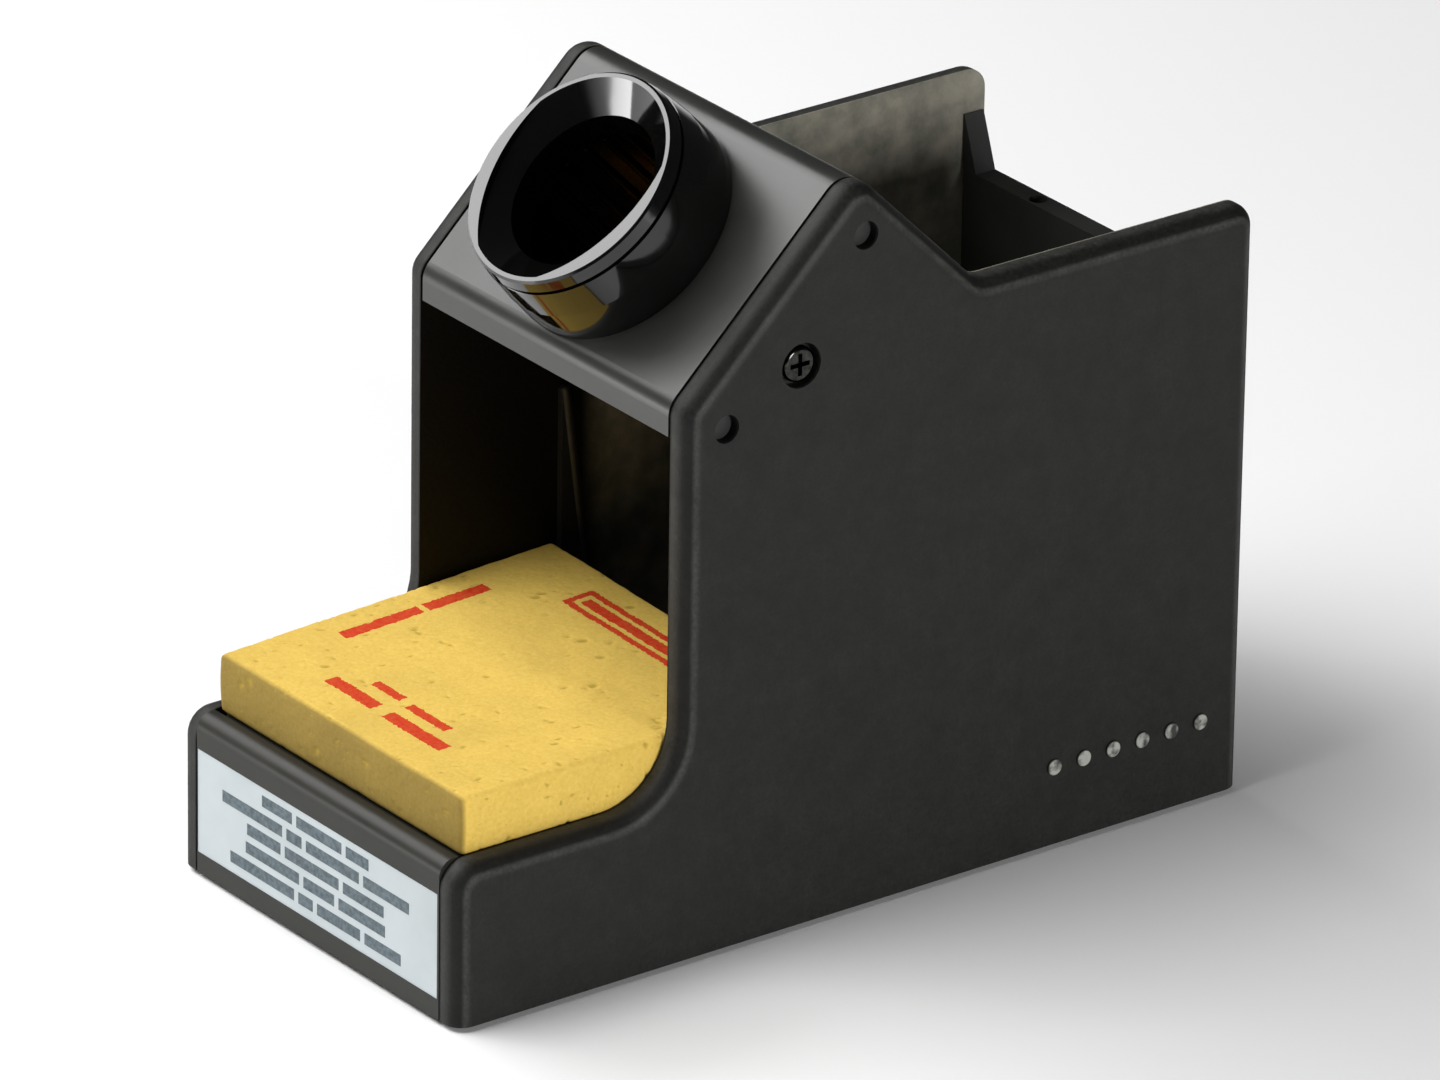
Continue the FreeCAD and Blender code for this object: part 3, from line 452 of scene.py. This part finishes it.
chance = random.Random(41)
pore_count, large_pore_count = 3200, 420
pore_tree = kdtree.KDTree(len(sponge_skin.vertices))
for vertex in sponge_skin.vertices:
    pore_tree.insert(vertex.co, vertex.index)
pore_tree.balance()
pore_depth = [0.0] * len(sponge_skin.vertices)
for pore in range(pore_count):
    seed = sponge_skin.vertices[chance.randrange(len(sponge_skin.vertices))].co.copy()
    large = pore < large_pore_count
    wide = chance.uniform(0.0008, 0.0013) if large else chance.uniform(0.0003, 0.0007)
    deep = wide * (0.28 if large else 0.25)
    along = Vector((chance.uniform(-1, 1), chance.uniform(-1, 1), chance.uniform(-0.5, 0.5)))
    along.normalize()
    squeeze = chance.uniform(0.3, 0.65)
    for place_at, index, _ in pore_tree.find_range(seed, wide):
        offset = place_at - seed
        lengthwise = offset.dot(along)
        crosswise = (offset - along * lengthwise).length / squeeze
        distance = math.hypot(lengthwise, crosswise) / wide
        if distance < 1:
            pore_depth[index] = max(pore_depth[index], deep * (1 - distance ** 2))

swell_front_left, swell_front_right = -0.0007, -0.0009
swell_back_left, swell_back_right = 0.0023, 0.0003
rim_up = swell_span = 0.011
side_bulge = 0.00022
wave_mm, wave_height, ripple_mm, ripple_height = 9.0, 0.00012, 2.6, 0.00007
darkest_pore = 0.00026
outward = [vertex.normal.copy() for vertex in sponge_skin.vertices]
for vertex, normal, sunk in zip(sponge_skin.vertices, outward, pore_depth):
    spot = vertex.co.copy()
    u = (spot.x - sponge_low.x) / (sponge_high.x - sponge_low.x)
    v = (spot.y - sponge_low.y) / (sponge_high.y - sponge_low.y)
    over_rim = min(max((spot.z - sponge_low.z - rim_up) / swell_span, 0), 1)
    front = swell_front_left * (1 - u) + swell_front_right * u
    rear = swell_back_left * (1 - u) + swell_back_right * u
    lift = (front * (1 - v) + rear * v) * over_rim
    uneven = (noise.noise(spot * 1000 / wave_mm) * wave_height
              + noise.noise(spot * 1000 / ripple_mm) * ripple_height)
    bulge = side_bulge * math.sin(math.pi * over_rim)
    vertex.co = (spot + Vector((normal.x, normal.y, 0)) * bulge + Vector((0, 0, lift))
                 + normal * (uneven * min(1.0, over_rim * 3) - sunk))
pore_level = sponge_skin.attributes.new("pore", "FLOAT", "POINT")
pore_level.data.foreach_set("value", [min(sunk / darkest_pore, 1.0) for sunk in pore_depth])
sponge_skin.polygons.foreach_set("use_smooth", [True] * len(sponge_skin.polygons))

cellulose, tree, place = new_finish("yellow_cellulose_sponge")
fibre_mm, patch_mm = 0.8, 12.0
fibre = add(tree, "ShaderNodeTexNoise", {"Vector": place, "Scale": 1000 / fibre_mm, "Detail": 4.0,
                                         "Roughness": 0.65})
patch = add(tree, "ShaderNodeTexNoise", {"Vector": place, "Scale": 1000 / patch_mm, "Detail": 2.0})
tint = two_tone(tree, fibre.outputs["Fac"], "#dcb650", "#e9c764", 0.28, 0.72)
damp = add(tree, "ShaderNodeMapRange", {"Value": patch.outputs["Fac"], "From Min": 0.3, "From Max": 0.7,
                                        "To Min": 0.93, "To Max": 1.04})
body = add(tree, "ShaderNodeVectorMath", {0: tint.outputs["Color"], 1: damp.outputs[0]},
           operation="MULTIPLY")
where = add(tree, "ShaderNodeSeparateXYZ", {"Vector": place})
# Painted shade: the sponge's front face is darkened.
front_face_shade = add(tree, "ShaderNodeMapRange", {"Value": where.outputs["Y"],
                                          "From Min": sponge_low.y + 0.0001,
                                          "From Max": sponge_low.y + 0.0009,
                                          "To Min": 0.36, "To Max": 1.0})
body = add(tree, "ShaderNodeVectorMath", {0: body.outputs[0], 1: front_face_shade.outputs[0]},
           operation="MULTIPLY")
# Painted shade in the pores: the deeper the pore, the darker the colour.
pore = add(tree, "ShaderNodeAttribute", attribute_name="pore")
inside = add(tree, "ShaderNodeMapRange", {"Value": pore.outputs["Fac"], "From Min": 0.35, "From Max": 1.0,
                                          "To Min": 0.0, "To Max": 0.85})
pore_shaded = add(tree, "ShaderNodeMix", {"Factor": inside.outputs[0], "A": body.outputs[0],
                                       "B": linear("#ab8f30")}, data_type="RGBA")


ragged_mm, ragged_reach = 0.7, 0.0009


def stamped(from_left, from_front, width, length):
    """1 inside a rectangle stamped on the sponge's top, its edge ragged. Its middle is given in
    millimetres from the sponge's left and front sides, its size in millimetres."""
    centre = (sponge_low.x + from_left / 1000, sponge_low.y + from_front / 1000)
    ragged = add(tree, "ShaderNodeTexNoise", {"Vector": place, "Scale": 1000 / ragged_mm, "Detail": 2.0})
    shift = add(tree, "ShaderNodeVectorMath", {0: ragged.outputs["Color"], 1: (-0.5, -0.5, -0.5)},
                operation="ADD")
    spread = add(tree, "ShaderNodeVectorMath", {0: shift.outputs[0], "Scale": ragged_reach},
                 operation="SCALE")
    moved = add(tree, "ShaderNodeVectorMath", {0: place, 1: spread.outputs[0]}, operation="ADD")
    local = add(tree, "ShaderNodeVectorMath", {0: moved.outputs[0], 1: (-centre[0], -centre[1], 0)},
                operation="ADD")
    folded = add(tree, "ShaderNodeVectorMath", {0: local.outputs[0]}, operation="ABSOLUTE")
    edges = add(tree, "ShaderNodeSeparateXYZ", {"Vector": folded.outputs[0]})
    across_it, along_it = (
        add(tree, "ShaderNodeMath", {0: edges.outputs[axis], 1: side / 2000}, operation="LESS_THAN")
        for axis, side in (("X", width), ("Y", length)))
    return add(tree, "ShaderNodeMath", {0: across_it.outputs[0], 1: along_it.outputs[0]},
               operation="MULTIPLY")


def either(first, second):
    return add(tree, "ShaderNodeMath", {0: first.outputs[0], 1: second.outputs[0]}, operation="MAXIMUM")


# Plain red bars in place of lettering: one line up the left side, two across the front, and a
# framed bar at the back right.
stamps = [stamped(7.3, 28.1, 2.8, 16.0), stamped(7.3, 43.6, 2.8, 12.8),
          stamped(29.2, 14.1, 8.0, 1.9), stamped(41.4, 13.5, 11.2, 1.9),
          stamped(26.0, 9.1, 13.2, 2.7), stamped(44.2, 8.9, 16.4, 2.7)]
frame_from_left, frame_from_front = 34.8, 60.1
frame_outer = stamped(frame_from_left, frame_from_front, 31.0, 6.6)
frame_inner = stamped(frame_from_left, frame_from_front, 28.4, 4.0)
outline = add(tree, "ShaderNodeMath", {0: frame_outer.outputs[0], 1: frame_inner.outputs[0]},
              operation="SUBTRACT")
printed = either(outline, stamped(frame_from_left, frame_from_front, 26.0, 2.2))
for stamp in stamps:
    printed = either(printed, stamp)
ink_soak = 0.0030
on_top = add(tree, "ShaderNodeMath", {0: where.outputs["Z"], 1: sponge_high.z - ink_soak},
             operation="GREATER_THAN")
soak = add(tree, "ShaderNodeMapRange", {"Value": fibre.outputs["Fac"], "From Min": 0.3, "From Max": 0.7,
                                        "To Min": 0.86, "To Max": 1.0})
strength = add(tree, "ShaderNodeMath", {0: printed.outputs[0], 1: on_top.outputs[0]},
               operation="MULTIPLY")
strength = add(tree, "ShaderNodeMath", {0: strength.outputs[0], 1: soak.outputs[0]},
               operation="MULTIPLY")
coloured = add(tree, "ShaderNodeMix", {"Factor": strength.outputs[0], "A": pore_shaded.outputs["Result"],
                                       "B": linear("#cc2408")}, data_type="RGBA")
weave = add(tree, "ShaderNodeBump", {"Height": fibre.outputs["Fac"], "Strength": 0.35,
                                     "Distance": 0.00025})
close_finish(tree, add(tree, "ShaderNodeBsdfPrincipled", {
    "Base Color": coloured.outputs["Result"], "Roughness": 0.85, "IOR": 1.35,
    "Normal": weave.outputs[0]}))
sponge_skin.materials.clear()
sponge_skin.materials.append(cellulose)
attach(sponge, "sponge")
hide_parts("sponge")
